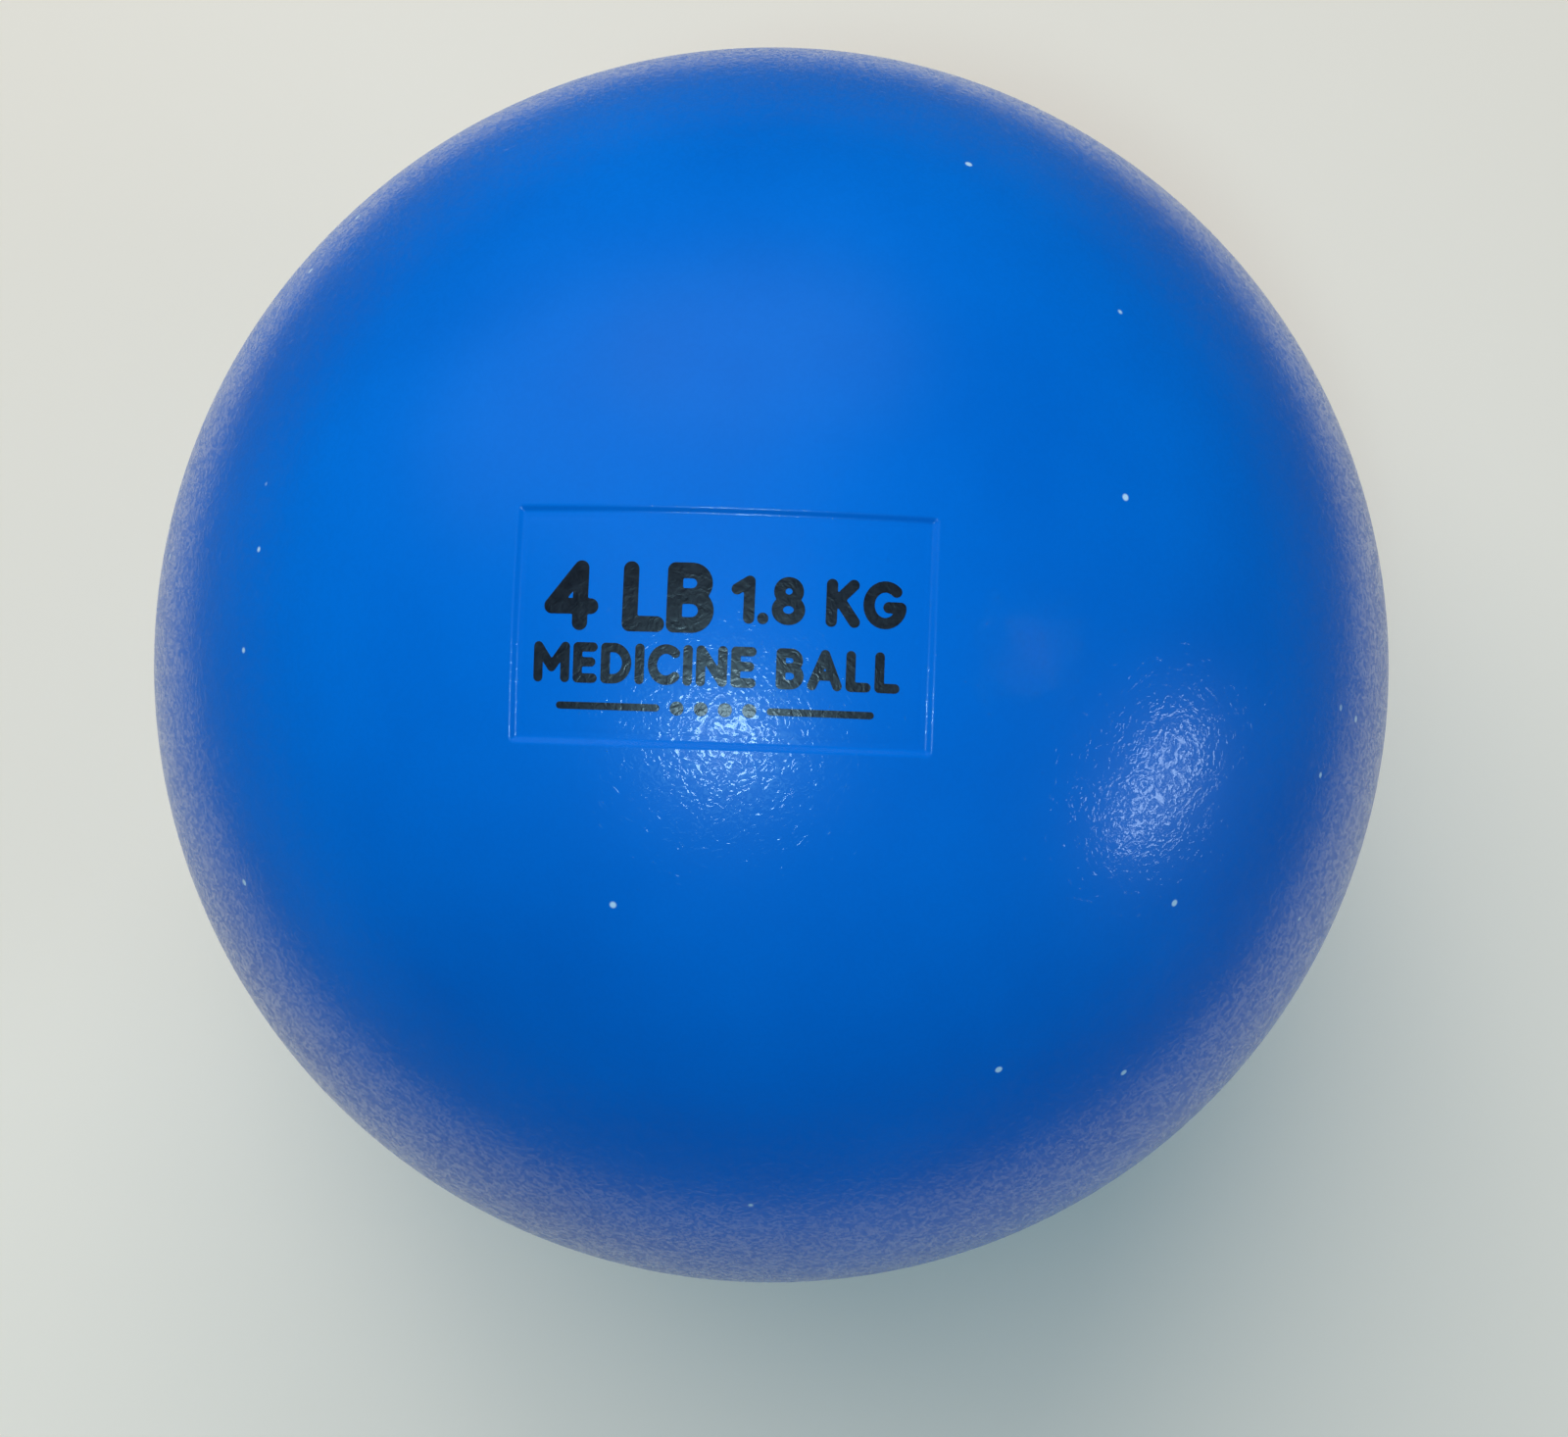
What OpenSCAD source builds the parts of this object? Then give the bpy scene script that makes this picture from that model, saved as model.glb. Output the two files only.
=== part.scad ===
// Soft weighted medicine ball: a hollow moulded shell, partly filled with heavy grit,
// closed by a barbed plug that carries a self-sealing needle valve.
// Millimetres, +Z up. The origin is the centre of the flat that the ball rests on.

/* [Ball] */
// Outside diameter of the ball
ball_d = 127; // [115:1:140]
// Thickness of the moulded shell
wall = 4; // [3:0.5:6]
// Diameter of the flat that the soft ball makes where it rests
rest_d = 32; // [20:1:40]
// How far the trimmed parting line stands proud of the ball
parting_rise = 0.12; // [0.05:0.01:0.3]

/* [Attitude] */
// Lean of the print panel towards the front, from straight up
panel_lean = 11.8; // [0:0.1:30]
// Lean of the print panel towards the right
panel_side = -3.6; // [-10:0.1:10]
// Turn of the print panel about its own centre
panel_roll = -3.3; // [-10:0.1:10]
// Angle from the middle of the print panel round the back to the fill port
port_angle = 108; // [100:1:120]

/* [Print panel] */
// Width of the sunk panel that takes the print
panel_w = 33.6; // [25:0.1:45]
// Height of the sunk panel
panel_h = 19; // [14:0.1:25]
// How far the panel is sunk into the shell
panel_depth = 0.3; // [0.1:0.05:0.6]

/* [Fill port] */
// Bore of the fill neck
port_d = 9; // [7:0.5:11]
// Outside diameter of the thick neck inside the shell
neck_d = 21; // [18:0.5:26]
// How far the neck reaches in past the wall
neck_reach = 6; // [4:0.5:8]
// Diameter of the recess that the plug's flange sits in
recess_d = 17; // [15:0.5:20]
// Depth of that recess at the middle
recess_depth = 2.5; // [2:0.1:3]

/* [Plug and valve] */
// Diameter of the plug's flange
flange_d = 15.6; // [13:0.1:19]
// How far the flange's face lies below the ball's surface
flange_drop = 0.3; // [0:0.1:0.6]
// Largest diameter of the plug's barb
barb_d = 10.6; // [9.6:0.1:13]
// Diameter of the rubber valve core
core_d = 5; // [4:0.1:5.5]
// Diameter of the hole that an inflating needle goes into
needle_d = 2.2; // [1.8:0.1:2.6]

/* [Filling] */
// Height of the grit's level surface above the ball's centre
fill_level = 14.7; // [-10:0.1:40]

/* [Hidden] */
$fn = 96;

ball_r = ball_d / 2;
inner_r = ball_r - wall;
centre_z = sqrt(ball_r * ball_r - rest_d * rest_d / 4);
// Distances below are measured from the ball's centre, outwards along the port's axis.
neck_end = inner_r - neck_reach;
recess_floor = ball_r - recess_depth;
flange_top = ball_r - flange_drop;
slip = 0.05;          // gap round the plug's stem and round the valve core
grit_gap = 0.1;       // gap between the grit and the shell
stem_d = port_d - 2 * slip;
barb_length = 4;
barb_tip_d = 7.5;
core_head_d = 7;      // mushroom head that holds the core in the plug
core_head_t = 2;
core_roof = 3;        // plug material left over the core
funnel_depth = 0.9;   // lead-in to the needle hole
funnel_d = 4.6;
slit_d = 1;           // needle channel in the core
slit_length = 7;
parting_bead_r = 0.4;
clear = 1;            // extra length of a cutter past the face that it cuts

// Moulded features are placed about the ball's centre, with +Z through the print panel.
module moulded() {
    translate([0, 0, centre_z])
        rotate([panel_lean, 0, 0])
            rotate([0, panel_side, 0])
                rotate([0, 0, panel_roll])
                    children();
}

// The fill port's axis is +Z here, pointing out of the ball, from the ball's centre.
module at_port() {
    moulded()
        rotate([-port_angle, 0, 0])
            children();
}

module ball(r) {
    translate([0, 0, centre_z])
        sphere(r);
}

// Everything above the height z0
module above(z0) {
    translate([-ball_d, -ball_d, z0])
        cube([2 * ball_d, 2 * ball_d, 2 * ball_d]);
}

// A straight rod along the current Z axis, from z0 to z1
module rod(d, z0, z1) {
    translate([0, 0, z0])
        cylinder(d = d, h = z1 - z0);
}

// The hollow inside the shell, flattened over the resting flat, with the neck standing into it
module cavity() {
    difference() {
        intersection() {
            ball(inner_r);
            above(wall);
        }
        at_port()
            rod(neck_d, neck_end, ball_r - wall / 2);
    }
}

// The sunk rectangle: all that lies within it and above the sunk surface
module panel_cut() {
    moulded()
        difference() {
            translate([-panel_w / 2, -panel_h / 2, ball_r / 2])
                cube([panel_w, panel_h, ball_r]);
            sphere(ball_r - panel_depth);
        }
}

// A low bead round the ball, where the two halves of the mould met
module parting_bead() {
    moulded()
        rotate_extrude()
            translate([ball_r + parting_rise - parting_bead_r, 0])
                circle(parting_bead_r, $fn = 24);
}

module shell() {
    color([0.0, 0.40, 0.84])
        difference() {
            union() {
                intersection() {
                    ball(ball_r);
                    above(0);
                }
                parting_bead();
            }
            cavity();
            panel_cut();
            at_port() {
                rod(port_d, neck_end - clear, ball_r);
                rod(recess_d, recess_floor, ball_r + clear);
            }
        }
}

// Flange, stem and barb in one moulding, bored from inside for the valve core
module plug() {
    color([0.0, 0.34, 0.74])
        difference() {
            at_port() {
                intersection() {
                    rod(flange_d, recess_floor, ball_r);
                    sphere(flange_top);
                }
                rod(stem_d, neck_end, recess_floor);
                translate([0, 0, neck_end - barb_length])
                    cylinder(d1 = barb_tip_d, d2 = barb_d, h = barb_length);
            }
            at_port() {
                rod(core_d, neck_end - barb_length - clear, flange_top - core_roof);
                rod(needle_d, neck_end, ball_r);
                translate([0, 0, flange_top - funnel_depth])
                    cylinder(d1 = needle_d, d2 = funnel_d, h = funnel_depth);
            }
        }
}

// The bead of vinyl cement that fills the gap between the flange and its recess
module cement_ring() {
    color([0.05, 0.30, 0.62])
        at_port()
            intersection() {
                difference() {
                    rod(recess_d, recess_floor, ball_r, $fn = 256);
                    rod(flange_d, recess_floor - clear, ball_r + clear, $fn = 256);
                }
                sphere(flange_top, $fn = 256);
            }
}

// Rubber valve core with a mushroom head and a needle channel that stops short of the inner end
module valve_core() {
    core_top = flange_top - core_roof - slip;
    head_top = neck_end - barb_length - slip;
    color([0.12, 0.12, 0.13])
        at_port()
            difference() {
                union() {
                    rod(core_d - 2 * slip, head_top - slip, core_top);
                    rod(core_head_d, head_top - core_head_t, head_top);
                }
                rod(slit_d, core_top - slit_length, core_top + clear);
            }
}

// Loose grit, settled level, lying round the neck and the plug's inner end
module filling() {
    plug_end = neck_end - barb_length - core_head_t;
    color([0.23, 0.22, 0.21])
        difference() {
            intersection() {
                ball(inner_r - grit_gap);
                above(wall + grit_gap);
            }
            above(centre_z + fill_level);
            at_port()
                rod(neck_d + 2 * grit_gap, plug_end - 2 * slip - grit_gap, ball_r);
        }
}

shell();
plug();
cement_ring();
valve_core();
filling();
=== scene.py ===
import math
import bpy
import numpy as np
from mathutils import Matrix, Vector


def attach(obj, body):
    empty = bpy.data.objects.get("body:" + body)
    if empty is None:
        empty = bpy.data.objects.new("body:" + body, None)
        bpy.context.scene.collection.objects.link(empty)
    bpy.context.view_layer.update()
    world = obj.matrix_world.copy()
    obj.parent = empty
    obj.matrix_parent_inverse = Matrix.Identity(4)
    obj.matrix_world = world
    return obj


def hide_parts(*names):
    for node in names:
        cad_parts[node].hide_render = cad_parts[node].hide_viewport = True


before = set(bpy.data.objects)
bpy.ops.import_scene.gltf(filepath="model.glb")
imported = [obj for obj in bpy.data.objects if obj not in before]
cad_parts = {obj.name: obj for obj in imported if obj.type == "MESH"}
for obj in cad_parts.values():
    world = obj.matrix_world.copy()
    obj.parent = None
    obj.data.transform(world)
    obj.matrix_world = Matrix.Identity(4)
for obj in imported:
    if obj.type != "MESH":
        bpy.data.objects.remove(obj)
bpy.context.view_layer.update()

# Soft weighted medicine ball on a pale floor. Metres, +Z up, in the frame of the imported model.
MM = 0.001

# ---- driving dimensions, the same as the frame's ----
BALL_R = 63.5 * MM
WALL = 4 * MM
REST_R = 16 * MM                 # radius of the flat that the ball rests on
PANEL_LEAN = math.radians(11.8)
PANEL_SIDE = math.radians(-3.6)
PANEL_ROLL = math.radians(-3.3)
PORT_ANGLE = math.radians(108)
PANEL_W = 33.6 * MM
PANEL_H = 19 * MM
PANEL_DEPTH = 0.3 * MM
PORT_R = 4.5 * MM
NECK_R = 10.5 * MM
NECK_END = BALL_R - WALL - 6 * MM
RECESS_R = 8.5 * MM
RECESS_FLOOR = BALL_R - 2.5 * MM
FLANGE_R = 7.8 * MM
FLANGE_TOP = BALL_R - 0.3 * MM
NEEDLE_R = 1.1 * MM
PARTING_RISE = 0.12 * MM

# ---- details that are too fine for the frame's solids ----
SLOW_SWELL = 0.07                # millimetres out of round, in long waves
QUICK_SWELL = 0.012              # and in short ones
PANEL_CORNER = 0.5 * MM
PANEL_WALL = 0.56 * MM           # width of the slope from the skin down to the panel
GROOVE_IN = 0.95 * MM            # a faint groove runs this far inside the panel's outline
GROOVE_HALF = 0.15 * MM
GROOVE_DEPTH = 0.012 * MM
PARTING_HALF = 0.3 * MM
SETTLE_SOFTNESS = 0.55 * MM      # how softly the resting flat's edge turns up

CENTRE = Vector((0, 0, math.sqrt(BALL_R ** 2 - REST_R ** 2)))
MOULD = (Matrix.Rotation(PANEL_LEAN, 3, "X") @ Matrix.Rotation(PANEL_SIDE, 3, "Y")
         @ Matrix.Rotation(PANEL_ROLL, 3, "Z"))
PORT = MOULD @ Matrix.Rotation(-PORT_ANGLE, 3, "X")
PORT_IN_MOULD = np.array(Matrix.Rotation(-PORT_ANGLE, 3, "X"))
MOULD_NP = np.array(MOULD)
CENTRE_NP = np.array(CENTRE)


# ---- the ball's true surface ----
def smoothstep(low, high, x):
    t = np.clip((x - low) / (high - low), 0, 1)
    return t * t * (3 - 2 * t)


def swell(n):
    """A soft ball is out of round by a few hundredths of a millimetre. n holds unit directions.

    The numbers in the sines only place the waves and set how many there are.
    """
    x, y, z = n[..., 0], n[..., 1], n[..., 2]
    slow = np.sin(3.1 * x + 1.7 * y + 0.4) * np.sin(2.3 * z - 1.1 * x + 1.9)
    quick = np.sin(9.7 * x - 6.1 * z + 2.2) * np.sin(8.3 * y + 5.9 * x - 0.7)
    return (SLOW_SWELL * slow + QUICK_SWELL * quick) * MM


def panel_distance(x, y):
    """Distance in the panel's plane from its rounded outline, negative inside."""
    qx = np.abs(x) - PANEL_W / 2 + PANEL_CORNER
    qy = np.abs(y) - PANEL_H / 2 + PANEL_CORNER
    outside = np.hypot(np.maximum(qx, 0), np.maximum(qy, 0))
    return outside + np.minimum(np.maximum(qx, qy), 0) - PANEL_CORNER


def surface_radius(n):
    """Distance from the centre to the outer surface along the unit directions n, in the mould's frame."""
    r = BALL_R + swell(n)
    x, y, z = BALL_R * n[..., 0], BALL_R * n[..., 1], BALL_R * n[..., 2]
    d = np.where(z > 0, panel_distance(x, y), BALL_R)
    r = r - PANEL_DEPTH * smoothstep(0, -PANEL_WALL, d)
    foot_groove = np.exp(-((d + GROOVE_IN) / GROOVE_HALF) ** 2)
    r = r - GROOVE_DEPTH * foot_groove
    trimmed = 0.8 + 0.2 * np.sin(23 * np.arctan2(n[..., 1], n[..., 0])) * np.sin(7 * n[..., 0] + 1)
    bead = np.exp(-(z / PARTING_HALF) ** 2)
    return r + PARTING_RISE * trimmed * bead


def settle(points, floor):
    """Flattens points below the height floor, with a soft edge, as the ball's own weight does."""
    out = points.copy()
    above = (points[..., 2] - floor) / SETTLE_SOFTNESS
    out[..., 2] = floor + SETTLE_SOFTNESS * np.logaddexp(0, above)
    return out


def to_world(points):
    return points @ MOULD_NP.T + CENTRE_NP


# ---- mesh helpers ----
def new_object(name, verts, faces, material, smooth_angle=None):
    mesh = bpy.data.meshes.new(name)
    mesh.from_pydata(verts.tolist() if isinstance(verts, np.ndarray) else verts, [], faces)
    mesh.validate()
    mesh.shade_smooth()
    if smooth_angle:
        mesh.set_sharp_from_angle(angle=smooth_angle)
    obj = bpy.data.objects.new(name, mesh)
    obj.data.materials.append(material)
    bpy.context.scene.collection.objects.link(obj)
    return obj


def arc(centre, radius, start, end, count):
    """Points of an arc in the half-plane of a turned profile; angles in degrees."""
    angles = np.radians(np.linspace(start, end, count))
    return [(centre[0] + radius * math.cos(a), centre[1] + radius * math.sin(a)) for a in angles]


def graded(*zones):
    """Grid lines: the first entry is the start, and each zone (end, step) goes on from the last one's end."""
    lines = [zones[0]]
    for end, step in zones[1:]:
        count = max(1, math.ceil((end - lines[-1]) / step))
        lines += list(np.linspace(lines[-1], end, count + 1)[1:])
    return np.array(lines)


def turned_faces(rings, around, closed=False):
    """Quads between successive rings of a turned mesh."""
    faces = []
    last = rings if closed else rings - 1
    for i in range(last):
        a, b = i * around, ((i + 1) % rings) * around
        for j in range(around):
            k = (j + 1) % around
            faces.append((a + j, a + k, b + k, b + j))
    return faces


def sphere_height(radius, rho):
    return math.sqrt(radius ** 2 - rho ** 2)


# ---- shell: one closed solid, turned about the fill port's axis ----
def port_directions(theta, psi):
    """Unit directions in the mould's frame: theta is from the port's axis, and psi is round it."""
    t, p = np.meshgrid(theta, psi, indexing="ij")
    local = np.stack([np.sin(t) * np.sin(p), -np.sin(t) * np.cos(p), np.cos(t)], axis=-1)
    return local @ PORT_IN_MOULD.T


WALL_STEP = 0.1                  # grid steps in degrees: on the panel's walls,
PANEL_STEP = 0.4                 # on the panel between them,
SKIN_STEP = 0.8                  # on the rest of the skin,
HOLLOW_STEP = 3                  # and on the plain wall of the hollow
SIDE_WALL = (14.6, 18.0)         # where the walls lie, in degrees round the port
TOP_WALL = (98.0, 100.2)         # and in degrees away from it
FOOT_WALL = (115.2, 117.3)
SKIN_END = 179.2
HOLLOW_END = 177


def round_the_port():
    """Angles round the port, fine where the panel's side walls are."""
    side = graded(0, (SIDE_WALL[0], PANEL_STEP), (SIDE_WALL[1], WALL_STEP), (180, SKIN_STEP))
    return np.radians(np.concatenate([-side[-2:0:-1], side]))


def away_from_port(start):
    """Angles from the port's axis to the far side, fine where the panel's top and foot walls are."""
    return np.radians(graded(
        start, (TOP_WALL[0], SKIN_STEP), (TOP_WALL[1], WALL_STEP), (FOOT_WALL[0], PANEL_STEP),
        (FOOT_WALL[1], WALL_STEP), (SKIN_END, SKIN_STEP)))


def make_shell(material):
    psi = round_the_port()
    around = len(psi)
    lip = 0.5 * MM
    lip_rho = RECESS_R + lip
    start = math.degrees(math.asin(lip_rho / BALL_R))
    theta = away_from_port(start)
    outer = port_directions(theta, psi)
    outer = outer * surface_radius(outer)[..., None]
    outer = settle(to_world(outer), 0)
    # The port's profile, from the lip of the recess in to the end of the neck.
    lip_z = sphere_height(BALL_R, lip_rho)
    root = 0.4 * MM
    profile = arc((lip_rho, lip_z - lip), lip, 90, 180, 7)[1:]
    profile += arc((RECESS_R - root, RECESS_FLOOR + root), root, 0, -90, 5)
    profile += arc((PORT_R + root, RECESS_FLOOR - root), root, 90, 180, 5)
    profile += arc((PORT_R + root, NECK_END + root), root, 180, 270, 5)
    profile += arc((NECK_R - root, NECK_END + root), root, -90, 0, 5)
    inside_r = BALL_R - WALL
    fillet = 1.2 * MM
    foot_rho = NECK_R + fillet
    foot_z = sphere_height(inside_r, foot_rho) - fillet
    profile += arc((foot_rho, foot_z), fillet, 180, 90, 7)
    rings = [port_ring(rho, z, psi) for rho, z in profile]
    inside_start = math.degrees(math.asin((foot_rho + fillet) / inside_r))
    inner = port_directions(np.radians(graded(inside_start, (HOLLOW_END, HOLLOW_STEP))), psi) * inside_r
    inner = settle(to_world(inner), WALL)
    verts = np.concatenate([outer[::-1].reshape(-1, 3), to_world(np.array(rings)).reshape(-1, 3),
                            inner.reshape(-1, 3)])
    rings_total = len(outer) + len(rings) + len(inner)
    faces = turned_faces(rings_total, around)
    far = PORT_IN_MOULD @ np.array([0, 0, -1.0])
    poles = np.array([far * surface_radius(far), far * inside_r])
    verts = np.concatenate([verts, to_world(poles)])
    first, last = len(verts) - 2, len(verts) - 1
    base = (rings_total - 1) * around
    for j in range(around):
        k = (j + 1) % around
        faces.append((first, k, j))
        faces.append((last, base + j, base + k))
    return new_object("shell_skin", verts, faces, material)


def port_ring(rho, z, psi):
    local = np.stack([rho * np.sin(psi), -rho * np.cos(psi), np.full_like(psi, z)], axis=-1)
    return local @ PORT_IN_MOULD.T


def turned_piece(name, profile, material):
    """A ring-shaped solid turned about the port's axis from a closed profile of (rho, z) points."""
    around = 160
    psi = np.linspace(0, 2 * math.pi, around, endpoint=False)
    rings = np.array([port_ring(rho, z, psi) for rho, z in profile])
    verts = to_world(rings).reshape(-1, 3)
    return new_object(name, verts, turned_faces(len(profile), around, closed=True), material)


# ---- materials ----
def plain_material(name):
    material = bpy.data.materials.new(name)
    material.use_nodes = True
    material.node_tree.nodes.clear()
    tree = Nodes(material.node_tree)
    shader = tree.add("ShaderNodeBsdfPrincipled")
    out = tree.add("ShaderNodeOutputMaterial")
    tree.link(shader, "BSDF", out, "Surface")
    return material, tree, shader


class Nodes:
    """Short calls for building a node tree."""

    def __init__(self, tree):
        self.tree = tree

    def add(self, kind, **inputs):
        node = self.tree.nodes.new(kind)
        for key, value in inputs.items():
            node.inputs[key.replace("_", " ")].default_value = value
        return node

    def link(self, source, output, target, socket):
        self.tree.links.new(source.outputs[output], target.inputs[socket])

    def place(self):
        return self.add("ShaderNodeTexCoord")

    def noise(self, coords, scale, detail, distortion=0.0, roughness=0.5):
        node = self.add("ShaderNodeTexNoise", Scale=scale, Detail=detail, Distortion=distortion,
                        Roughness=roughness)
        self.link(coords, "Object", node, "Vector")
        return node

    def ramp(self, source, output, stops):
        node = self.add("ShaderNodeValToRGB")
        ramp = node.color_ramp
        while len(ramp.elements) < len(stops):
            ramp.elements.new(0.5)
        for element, (position, colour) in zip(ramp.elements, stops):
            element.position = position
            element.color = (*colour, 1)
        self.link(source, output, node, "Fac")
        return node

    def bump(self, source, output, strength, distance, below=None):
        node = self.add("ShaderNodeBump", Strength=strength, Distance=distance)
        self.link(source, output, node, "Height")
        if below:
            self.link(below, "Normal", node, "Normal")
        return node

    def mix_over(self, below, factor, output, colour):
        """Lays a plain colour over the ramp below where the factor is 1, and returns the colour's socket."""
        factor_in, below_in, over_in, colour_out = 0, 6, 7, 2
        node = self.add("ShaderNodeMix")
        node.data_type = "RGBA"
        self.tree.links.new(below.outputs["Color"], node.inputs[below_in])
        node.inputs[over_in].default_value = (*colour, 1)
        self.link(factor, output, node, factor_in)
        return node.outputs[colour_out]


def grey(value):
    return (value, value, value)


def vinyl_material(name, deep, bright):
    """Soft blue vinyl: satin gloss under a thin slick skin that is finely crinkled, with dust and rubs."""
    material, tree, shader = plain_material(name)
    place = tree.place()
    cloud = tree.noise(place, 38, detail=4)
    shade = tree.ramp(cloud, "Fac", [(0.3, deep), (0.7, bright)])
    # Sparse specks of pale dust.
    dust = tree.add("ShaderNodeTexVoronoi", Scale=160, Randomness=1)
    tree.link(place, "Object", dust, "Vector")
    dust_dot = tree.ramp(dust, "Distance", [(0.0, grey(1)), (0.04, grey(1)), (0.06, grey(0))])
    pick = tree.ramp(dust, "Color", [(0.60, grey(0)), (0.62, grey(1))])
    dust_on = tree.add("ShaderNodeMath")
    dust_on.operation = "MULTIPLY"
    tree.link(dust_dot, "Color", dust_on, 0)
    tree.link(pick, "Color", dust_on, 1)
    colour = tree.mix_over(shade, dust_on, "Value", (0.42, 0.60, 0.78))
    tree.tree.links.new(colour, shader.inputs["Base Color"])
    # Roughness wanders a little where hands have polished it.
    rubbed = tree.noise(place, 70, detail=6, roughness=0.6)
    rough = tree.ramp(rubbed, "Fac", [(0.3, grey(0.29)), (0.7, grey(0.36))])
    tree.link(rough, "Color", shader, "Roughness")
    crinkle = tree.noise(place, 1050, detail=1, distortion=2.2)
    cells = tree.add("ShaderNodeTexVoronoi", Scale=900, Randomness=1)
    cells.feature = "SMOOTH_F1"
    tree.link(place, "Object", cells, "Vector")
    leather = tree.bump(cells, "Distance", 0.25, 0.012 * MM)
    skin = tree.bump(crinkle, "Fac", 1.0, 0.045 * MM, leather)
    tree.link(skin, "Normal", shader, "Coat Normal")
    tree.link(leather, "Normal", shader, "Normal")
    # The slick skin is broken up: it shines on the crinkle's crests and is dull in its hollows.
    slick = tree.ramp(crinkle, "Fac", [(0.44, grey(0.06)), (0.56, grey(0.60))])
    tree.link(slick, "Color", shader, "Coat Weight")
    shader.inputs["Specular IOR Level"].default_value = 0.12
    shader.inputs["Coat Roughness"].default_value = 0.08
    shader.inputs["Coat IOR"].default_value = 1.45
    return material


def ink_material():
    """Black pad-printing ink: satin, a little worn, over the same crinkled skin."""
    material, tree, shader = plain_material("print_ink")
    place = tree.place()
    worn = tree.noise(place, 900, detail=5, roughness=0.7)
    shade = tree.ramp(worn, "Fac", [(0.3, (0.003, 0.004, 0.008)), (0.75, (0.009, 0.013, 0.022))])
    tree.link(shade, "Color", shader, "Base Color")
    rough = tree.ramp(worn, "Fac", [(0.3, grey(0.34)), (0.7, grey(0.5))])
    tree.link(rough, "Color", shader, "Roughness")
    crinkle = tree.noise(place, 1150, detail=2, distortion=1.2)
    skin = tree.bump(crinkle, "Fac", 1.0, 0.05 * MM)
    tree.link(skin, "Normal", shader, "Coat Normal")
    tree.link(skin, "Normal", shader, "Normal")
    shader.inputs["Coat Weight"].default_value = 0.25
    shader.inputs["Coat Roughness"].default_value = 0.14
    return material


def cement_material():
    """Dried vinyl cement: glossy, slightly cloudy and uneven."""
    material, tree, shader = plain_material("vinyl_cement")
    place = tree.place()
    cloudy = tree.noise(place, 300, detail=4)
    shade = tree.ramp(cloudy, "Fac", [(0.3, (0.002, 0.05, 0.22)), (0.75, (0.01, 0.10, 0.36))])
    tree.link(shade, "Color", shader, "Base Color")
    rough = tree.ramp(cloudy, "Fac", [(0.3, grey(0.12)), (0.7, grey(0.28))])
    tree.link(rough, "Color", shader, "Roughness")
    lumps = tree.bump(cloudy, "Fac", 0.5, 0.1 * MM)
    tree.link(lumps, "Normal", shader, "Normal")
    return material


def rubber_material():
    """Black valve rubber with a bloom of dust."""
    material, tree, shader = plain_material("valve_rubber")
    place = tree.place()
    bloom = tree.noise(place, 700, detail=6, roughness=0.7)
    shade = tree.ramp(bloom, "Fac", [(0.35, grey(0.010)), (0.8, grey(0.035))])
    tree.link(shade, "Color", shader, "Base Color")
    rough = tree.ramp(bloom, "Fac", [(0.3, grey(0.62)), (0.7, grey(0.8))])
    tree.link(rough, "Color", shader, "Roughness")
    grain = tree.bump(bloom, "Fac", 0.4, 0.04 * MM)
    tree.link(grain, "Normal", shader, "Normal")
    return material


def grit_material():
    """Dark iron grit: separate rough grains with a metal glint."""
    material, tree, shader = plain_material("grit")
    place = tree.place()
    grains = tree.add("ShaderNodeTexVoronoi", Scale=1400, Randomness=1)
    tree.link(place, "Object", grains, "Vector")
    shade = tree.ramp(grains, "Color", [(0.1, grey(0.02)), (0.6, grey(0.07)), (0.95, (0.14, 0.12, 0.10))])
    tree.link(shade, "Color", shader, "Base Color")
    rough = tree.ramp(grains, "Color", [(0.1, grey(0.45)), (0.9, grey(0.85))])
    tree.link(rough, "Color", shader, "Roughness")
    lumps = tree.bump(grains, "Distance", 1.0, 0.3 * MM)
    lumps.invert = True
    tree.link(lumps, "Normal", shader, "Normal")
    shader.inputs["Metallic"].default_value = 0.4
    return material


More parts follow.
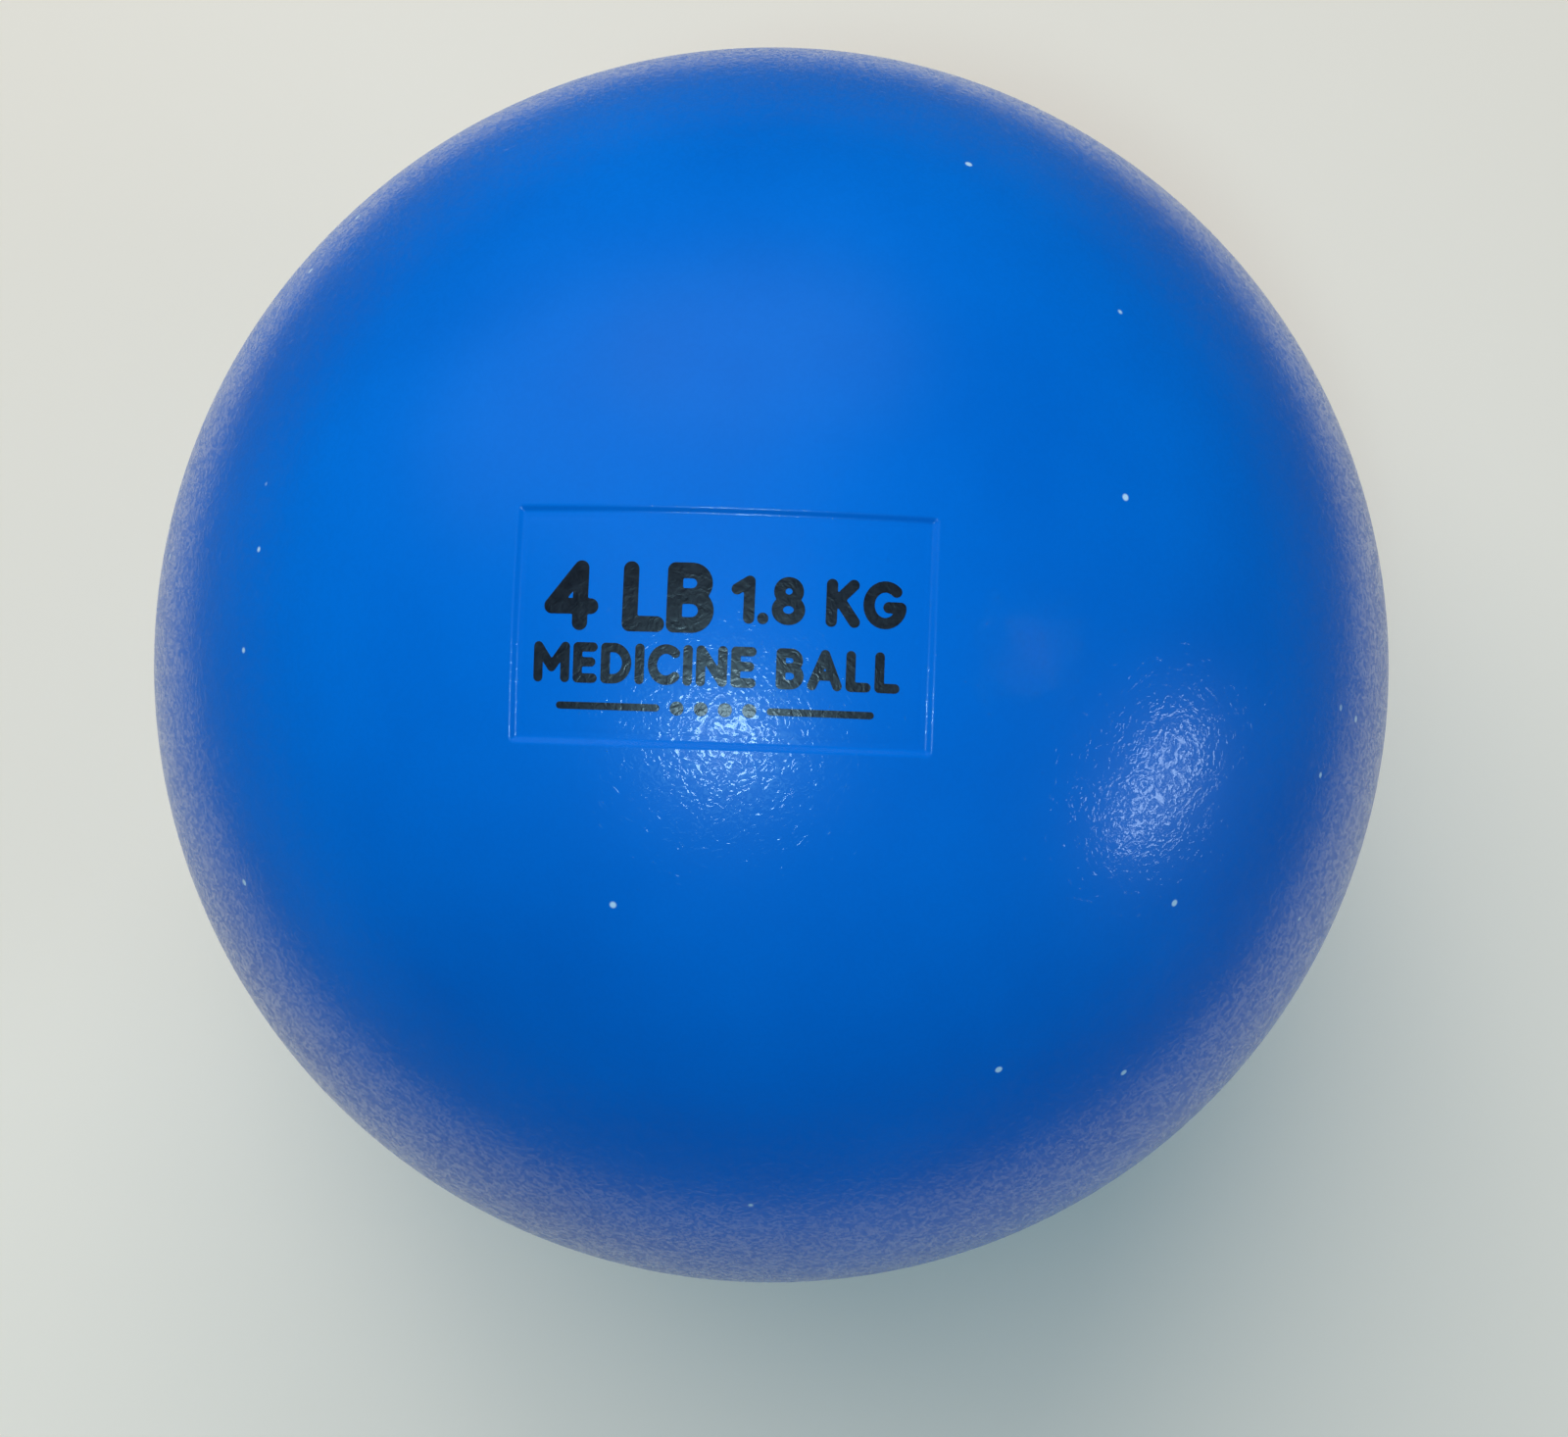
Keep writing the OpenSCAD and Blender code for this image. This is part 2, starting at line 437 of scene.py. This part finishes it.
# ---- plug and cement ----
def make_plug(material):
    """Flange with a raised rim and a dished middle, stem, barb, and the needle's lead-in."""
    edge = 0.45 * MM
    stem_r = PORT_R - 0.05 * MM
    core_r = 2.5 * MM
    core_roof = 3 * MM
    barb_r = 5.3 * MM
    barb_tip_r = 3.75 * MM
    barb_end = NECK_END - 4 * MM
    rim_z = sphere_height(FLANGE_TOP, FLANGE_R - edge)
    dish = 0.25 * MM
    rim_in = FLANGE_R - 1.9 * MM
    bowl_z = FLANGE_TOP - dish
    boss_r = 3.4 * MM
    profile = arc((FLANGE_R - edge, rim_z - edge), edge, 0, 90, 7)
    profile += arc((rim_in + 0.3 * MM, rim_z - 0.3 * MM + 0.02 * MM), 0.3 * MM, 90, 150, 4)
    profile += [(rim_in - 0.35 * MM, bowl_z - 0.18 * MM), (boss_r + 0.5 * MM, bowl_z - 0.12 * MM)]
    profile += arc((boss_r - 0.3 * MM, FLANGE_TOP - 0.3 * MM), 0.3 * MM, 0, 90, 5)
    profile += arc((2.3 * MM + 0.25 * MM, FLANGE_TOP - 0.25 * MM), 0.25 * MM, 90, 150, 4)
    profile += [(NEEDLE_R + 0.1 * MM, FLANGE_TOP - 0.95 * MM), (NEEDLE_R, FLANGE_TOP - 1.1 * MM)]
    profile += [(NEEDLE_R, FLANGE_TOP - core_roof + 0.1 * MM), (NEEDLE_R + 0.1 * MM, FLANGE_TOP - core_roof)]
    profile += [(core_r, FLANGE_TOP - core_roof), (core_r, barb_end)]
    profile += arc((barb_tip_r - 0.3 * MM, barb_end + 0.3 * MM), 0.3 * MM, -90, -20, 4)
    profile += arc((barb_r - 0.2 * MM, NECK_END - 0.25 * MM), 0.2 * MM, -20, 90, 6)
    profile += [(stem_r, NECK_END - 0.05 * MM), (stem_r, RECESS_FLOOR - 0.05 * MM)]
    profile += arc((FLANGE_R - 0.2 * MM, RECESS_FLOOR + 0.2 * MM), 0.2 * MM, -90, 0, 4)
    return turned_piece("plug_moulding", profile, material)


def make_cement(material):
    """The cement bead: it fills the gap round the flange and wanders where it was wiped."""
    around = 220
    psi = np.linspace(0, 2 * math.pi, around, endpoint=False)
    top_z = sphere_height(FLANGE_TOP, RECESS_R)
    wander = 0.05 * np.sin(5 * psi + 0.6) + 0.03 * np.sin(13 * psi) + 0.02 * np.sin(29 * psi + 2)
    middle = (RECESS_R + FLANGE_R) / 2
    half = (RECESS_R - FLANGE_R) / 2
    rings = []
    for angle in np.radians(np.linspace(180, 0, 9)):
        rho = middle + half * math.cos(angle)
        rise = math.sin(angle) * 0.12 * MM
        z = top_z - 0.05 * MM + rise * (1 + 6 * wander)
        rings.append(np.stack([rho * np.sin(psi), -rho * np.cos(psi), z], axis=-1))
    floor_z = np.full_like(psi, RECESS_FLOOR)
    for rho in (RECESS_R, FLANGE_R):
        rings.append(np.stack([rho * np.sin(psi), -rho * np.cos(psi), floor_z], axis=-1))
    verts = to_world(np.array(rings) @ PORT_IN_MOULD.T).reshape(-1, 3)
    return new_object("cement_bead", verts, turned_faces(len(rings), around, closed=True), material)


# ---- print ----
INK_THICKNESS = 0.03 * MM
INK_BITE = 0.012 * MM            # how far the ink's underside lies in the skin
INK_CELL = 0.11 * MM
INK_SHARP = math.radians(35)     # edges that turn more than this stay sharp


def bow(x, y, rx, ry, start, end, count=14):
    """Points along an elliptical arc of a letter; angles in degrees."""
    angles = np.radians(np.linspace(start, end, count))
    return [(x + rx * math.cos(a), y + ry * math.sin(a)) for a in angles]


# Plain rounded letterforms: each is (width, centre lines of its strokes), with a height of 1.
LETTERS = {
    " ": (0.10, []),
    ".": (0.0, [[(0, 0), (0, 0.01)]]),
    "1": (0.34, [[(0, 0.78), (0.34, 1), (0.34, 0)]]),
    "4": (0.74, [[(0.54, 0), (0.54, 1), (0, 0.30), (0.74, 0.30)]]),
    "8": (0.60, [bow(0.30, 0.76, 0.25, 0.24, 0, 360, 25), bow(0.30, 0.26, 0.30, 0.26, 0, 360, 25)]),
    "A": (0.80, [[(0, 0), (0.40, 1), (0.80, 0)], [(0.14, 0.32), (0.66, 0.32)]]),
    "B": (0.58, [[(0, 0), (0, 1), (0.31, 1)], bow(0.31, 0.765, 0.235, 0.235, 90, -90),
                 [(0, 0.53), (0.31, 0.53)], bow(0.31, 0.265, 0.27, 0.265, 90, -90), [(0.31, 0), (0, 0)]]),
    "C": (0.72, [bow(0.44, 0.5, 0.44, 0.5, 48, 312, 25)]),
    "D": (0.70, [[(0.26, 0), (0, 0), (0, 1), (0.26, 1)], bow(0.26, 0.5, 0.44, 0.5, 90, -90, 20)]),
    "E": (0.50, [[(0.50, 1), (0, 1), (0, 0), (0.50, 0)], [(0, 0.52), (0.44, 0.52)]]),
    "G": (0.80, [bow(0.44, 0.5, 0.44, 0.5, 48, 342, 25) + [(0.86, 0.44), (0.54, 0.44)]]),
    "I": (0.0, [[(0, 0), (0, 1)]]),
    "K": (0.62, [[(0, 0), (0, 1)], [(0.58, 1), (0, 0.40)], [(0.20, 0.60), (0.62, 0)]]),
    "L": (0.50, [[(0, 1), (0, 0), (0.50, 0)]]),
    "M": (0.90, [[(0, 0), (0, 1), (0.45, 0.34), (0.90, 1), (0.90, 0)]]),
    "N": (0.70, [[(0, 0), (0, 1), (0.70, 0), (0.70, 1)]]),
}


def word(text, height, gap=0.42):
    """Centre lines of the strokes of a word of capitals, centred on the origin."""
    lines, x = [], 0.0
    for letter in text:
        width, strokes = LETTERS[letter]
        lines += [[(px + x, py - 0.5) for px, py in stroke] for stroke in strokes]
        x += width + gap
    half = (x - gap) / 2
    return [[((px - half) * height, py * height) for px, py in line] for line in lines]


def stroke_distance(points, lines):
    """Distance in the plane from each point to the nearest centre line."""
    nearest = np.full(points.shape[:-1], BALL_R)
    for line in lines:
        for start, end in zip(line, line[1:]):
            a, ab = np.array(start), np.array(end) - np.array(start)
            along = np.clip(((points - a) @ ab) / max(ab @ ab, 1e-18), 0, 1)
            nearest = np.minimum(nearest, np.linalg.norm(points - a - along[..., None] * ab, axis=-1))
    return nearest


def outline_fill(lines, half_width):
    """The area within half_width of the lines, as small cells cut off at its outline."""
    ends = np.array([p for line in lines for p in line])
    low = ends.min(axis=0) - half_width - 2 * INK_CELL
    high = ends.max(axis=0) + half_width + 2 * INK_CELL
    xs, ys = np.arange(low[0], high[0], INK_CELL), np.arange(low[1], high[1], INK_CELL)
    grid = np.stack(np.meshgrid(xs, ys, indexing="ij"), axis=-1)
    inside = half_width - stroke_distance(grid, lines)
    points, index, faces = [], {}, []

    def vertex(key, place):
        if key not in index:
            index[key] = len(points)
            points.append(place)
        return index[key]

    for i in range(len(xs) - 1):
        for j in range(len(ys) - 1):
            corners = [(i, j), (i + 1, j), (i + 1, j + 1), (i, j + 1)]
            if max(inside[c] for c in corners) <= 0:
                continue
            face = []
            for here, after in zip(corners, corners[1:] + corners[:1]):
                if inside[here] > 0:
                    face.append(vertex(here, grid[here]))
                if (inside[here] > 0) != (inside[after] > 0):
                    first, second = min(here, after), max(here, after)
                    t = np.clip(inside[first] / (inside[first] - inside[second]), 0.06, 0.94)
                    face.append(vertex((first, second), grid[first] + t * (grid[second] - grid[first])))
            faces.append(tuple(face))
    return np.array(points), faces


def print_on_panel(name, lines, half_width, x, y, material):
    """Lays strokes on the sunk panel as a thin closed skin of ink that follows the ball."""
    flat, faces = outline_fill(lines, half_width)
    flat = flat + np.array([x, y])
    count = len(flat)
    z = np.sqrt(BALL_R ** 2 - (flat ** 2).sum(axis=1))
    n = np.column_stack([flat, z]) / BALL_R
    r = surface_radius(n)[:, None]
    skin = np.concatenate([n * (r + INK_THICKNESS), n * (r - INK_BITE)])
    sides = {(a, b) for face in faces for a, b in zip(face, face[1:] + face[:1])}
    walls = [(b, a, a + count, b + count) for a, b in sorted(sides) if (b, a) not in sides]
    under = [tuple(i + count for i in reversed(face)) for face in faces]
    return new_object(name, to_world(skin), faces + under + walls, material, smooth_angle=INK_SHARP)


def make_print(material):
    """Generic marking: the weight in two units, what the object is, and a rule with four pips."""
    middle, top_row, name_row, rule_row = -0.4 * MM, 2.3 * MM, -3.0 * MM, -6.4 * MM
    rule = [[(-3.9 * MM, 0), (3.9 * MM, 0)]]
    pip = [[(0, 0), (0, 0.001 * MM)]]
    rows = [
        ("print_weight_lb", word("4 LB", 4.3 * MM, gap=0.32), 0.62 * MM, middle - 7.0 * MM, top_row),
        ("print_weight_kg", word("1.8 KG", 2.9 * MM, gap=0.38), 0.44 * MM, middle + 7.9 * MM, top_row),
        ("print_name", word("MEDICINE BALL", 2.45 * MM), 0.37 * MM, middle, name_row),
        ("print_rule_left", rule, 0.28 * MM, middle - 8.4 * MM, rule_row),
        ("print_rule_right", rule, 0.28 * MM, middle + 8.4 * MM, rule_row),
    ]
    for i in range(4):
        rows.append((f"print_pip_{i + 1}", pip, 0.55 * MM, middle + (i - 1.5) * 1.9 * MM, rule_row))
    return [print_on_panel(*row, material) for row in rows]


# ---- stage ----
FLOOR_R = 1.6
PAINTED_POOL_TO = 0.168                  # painted pool of light: the floor is pale this far out, and painted shade makes it dark past the next distance, so the ball's rim doesn't mirror a bright room
PAINTED_SHADE_FROM = 0.205                # so the ball's rim doesn't mirror a bright room
PALE = (0.74, 0.66, 0.57)
PAINTED_SHADE_DARK = (0.09, 0.086, 0.078)


def make_floor():
    rings = graded(0.0, (0.3, 0.02), (FLOOR_R, 0.1))[1:]
    around = 96
    angles = np.linspace(0, 2 * math.pi, around, endpoint=False)
    verts = [(r * math.cos(a), r * math.sin(a), 0) for r in rings for a in angles]
    faces = [tuple(range(around))] + turned_faces(len(rings), around)
    material, tree, shader = plain_material("floor_painted_light_pool")
    place = tree.place()
    far = tree.add("ShaderNodeVectorMath")
    far.operation = "LENGTH"
    tree.link(place, "Object", far, 0)
    # Painted light: the floor's colour is a pale pool round the ball, and past it a painted dark that stands
    # in for shade.
    shade = tree.ramp(far, "Value", [(PAINTED_POOL_TO, PALE), (PAINTED_SHADE_FROM, PAINTED_SHADE_DARK)])
    tree.link(shade, "Color", shader, "Base Color")
    shader.inputs["Roughness"].default_value = 0.85
    shader.inputs["Specular IOR Level"].default_value = 0.2
    floor = new_object("floor_painted_light_pool", verts, faces, material)


def look_from(obj, place, target):
    obj.location = place
    obj.rotation_euler = (Vector(target) - Vector(place)).to_track_quat("-Z", "Y").to_euler()


def add_light(name, azimuth, elevation, distance, width, height, watts, colour=(1, 1, 1), roll=0,
              mirrored=True):
    """An area light aimed at the ball. Azimuth 0 is the camera's side, and positive goes to its right.

    With mirrored off, glossy surfaces don't show it.
    """
    a, e = math.radians(azimuth), math.radians(elevation)
    way = Vector((math.sin(a) * math.cos(e), -math.cos(a) * math.cos(e), math.sin(e)))
    data = bpy.data.lights.new(name, "AREA")
    data.shape = "ELLIPSE"
    data.size = width
    data.size_y = height
    data.energy = watts
    data.color = colour
    light = bpy.data.objects.new(name, data)
    bpy.context.scene.collection.objects.link(light)
    look_from(light, CENTRE + way * distance, CENTRE)
    light.rotation_euler.rotate_axis("Z", math.radians(roll))
    light.visible_glossy = mirrored


CAMERA_DISTANCE = 230.75 * MM     # from the ball's centre
CAMERA_ELEVATION = math.radians(75.2)
AIM_RIGHT = 1.13 * MM            # the camera looks a little past the ball's centre
AIM_DOWN = 5.28 * MM
LENS = 49.5


def make_camera():
    data = bpy.data.cameras.new("camera")
    data.lens = LENS
    data.sensor_width = 36
    data.clip_start = 0.01
    data.clip_end = 20
    camera = bpy.data.objects.new("camera", data)
    bpy.context.scene.collection.objects.link(camera)
    back = Vector((0, -math.cos(CAMERA_ELEVATION), math.sin(CAMERA_ELEVATION)))
    up = Vector((0, math.sin(CAMERA_ELEVATION), math.cos(CAMERA_ELEVATION)))
    place = CENTRE + back * CAMERA_DISTANCE
    look_from(camera, place, CENTRE + Vector((AIM_RIGHT, 0, 0)) - up * AIM_DOWN)
    bpy.context.scene.camera = camera


def make_world():
    world = bpy.data.worlds.new("room")
    world.use_nodes = True
    background = world.node_tree.nodes["Background"]
    background.inputs["Color"].default_value = (0.45, 0.62, 1.0, 1)
    background.inputs["Strength"].default_value = 0.02
    bpy.context.scene.world = world


def make_lights():
    # Big soft panels light the ball and the floor; the lamps are what the gloss shows.
    add_light("panel_top", azimuth=-120, elevation=76, distance=1.0, width=0.8, height=0.8, watts=4.2,
              mirrored=False)
    add_light("panel_far", azimuth=180, elevation=50, distance=1.0, width=0.8, height=0.6, watts=4.2,
              mirrored=False)
    add_light("panel_far_left", azimuth=-135, elevation=40, distance=1.0, width=0.8, height=0.6, watts=2.2,
              mirrored=False)
    add_light("lamp_near", azimuth=-17, elevation=64, distance=0.9, width=0.20, height=0.17, watts=2.6,
              colour=(0.58, 0.86, 1.0))
    add_light("glow_near", azimuth=-17, elevation=64, distance=0.95, width=0.46, height=0.42, watts=1.1,
              colour=(0.20, 0.72, 1.0))
    add_light("lamp_right", azimuth=68, elevation=14, distance=0.9, width=0.33, height=0.16, watts=1.7,
              colour=(0.62, 0.82, 1.0), roll=-12)
    add_light("lamp_warm", azimuth=77, elevation=45.5, distance=0.9, width=0.008, height=0.11, watts=0.05,
              colour=(1.0, 0.72, 0.60))


# ---- assembly ----
make_camera()
make_world()
make_floor()
make_lights()
bpy.context.scene.view_settings.view_transform = "Standard"

blue = vinyl_material("blue_vinyl", deep=(0.0, 0.115, 0.50), bright=(0.0, 0.138, 0.57))
plug_blue = vinyl_material("plug_vinyl", deep=(0.0, 0.115, 0.48), bright=(0.0, 0.138, 0.55))

shell = make_shell(blue)
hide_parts("shell")

plug = make_plug(plug_blue)
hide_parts("plug")

cement = make_cement(cement_material())
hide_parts("cement_ring")

prints = make_print(ink_material())

for piece in [shell, plug, cement, *prints]:
    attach(piece, "root")

for node, material in (("valve_core", rubber_material()), ("filling", grit_material())):
    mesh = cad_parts[node].data
    mesh.materials.clear()
    mesh.materials.append(material)
